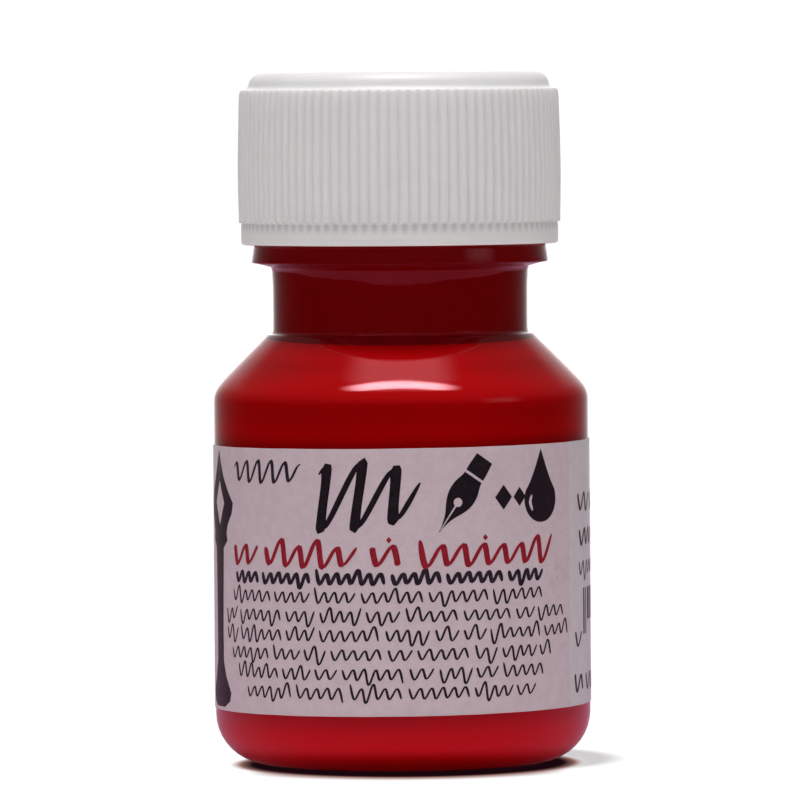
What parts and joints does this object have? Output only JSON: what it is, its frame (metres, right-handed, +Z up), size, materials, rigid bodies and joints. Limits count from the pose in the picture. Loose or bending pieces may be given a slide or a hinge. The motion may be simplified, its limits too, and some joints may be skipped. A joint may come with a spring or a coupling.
{
  "type": "ink bottle",
  "caption": "Small round clear plastic bottle of red drawing ink with a wrap-around label and a ribbed white screw cap that unscrews and lifts off.",
  "frame": {"origin": "centre of the plane the bottle stands on, on the bottle's axis", "axes": "+Z up along the bottle's axis; the front of the label faces -Y and its two ends meet at the back, at +Y; +X is to the right seen from the front"},
  "size_m": [0.035, 0.0351, 0.0643],
  "materials": {
    "bottle_clear": "gloss",
    "ink_red": "gloss",
    "label_paper": "satin",
    "cap_white": "satin",
    "liner_foam": "matte"
  },
  "bodies": {
    "bottle": {"bottle": "bottle_clear", "ink": "ink_red", "label": "label_paper"},
    "liner": {"cap_liner": "liner_foam"},
    "cap": {"cap": "cap_white"}
  },
  "joints": [
    {"name": "cap_lift", "type": "slide", "parent": "bottle", "child": "liner", "axis": [0, 0, 1], "range_m": [0, 0.01905]},
    {"name": "cap_turn", "type": "hinge", "parent": "liner", "child": "cap", "pos_m": [0, 0, 0.0566], "axis": [0, 0, 1], "range_deg": [0, 1620]}
  ],
  "couplings": [
    {"joint": "cap_lift", "follows": "cap_turn", "m_per_rad": 0.0006737}
  ]
}
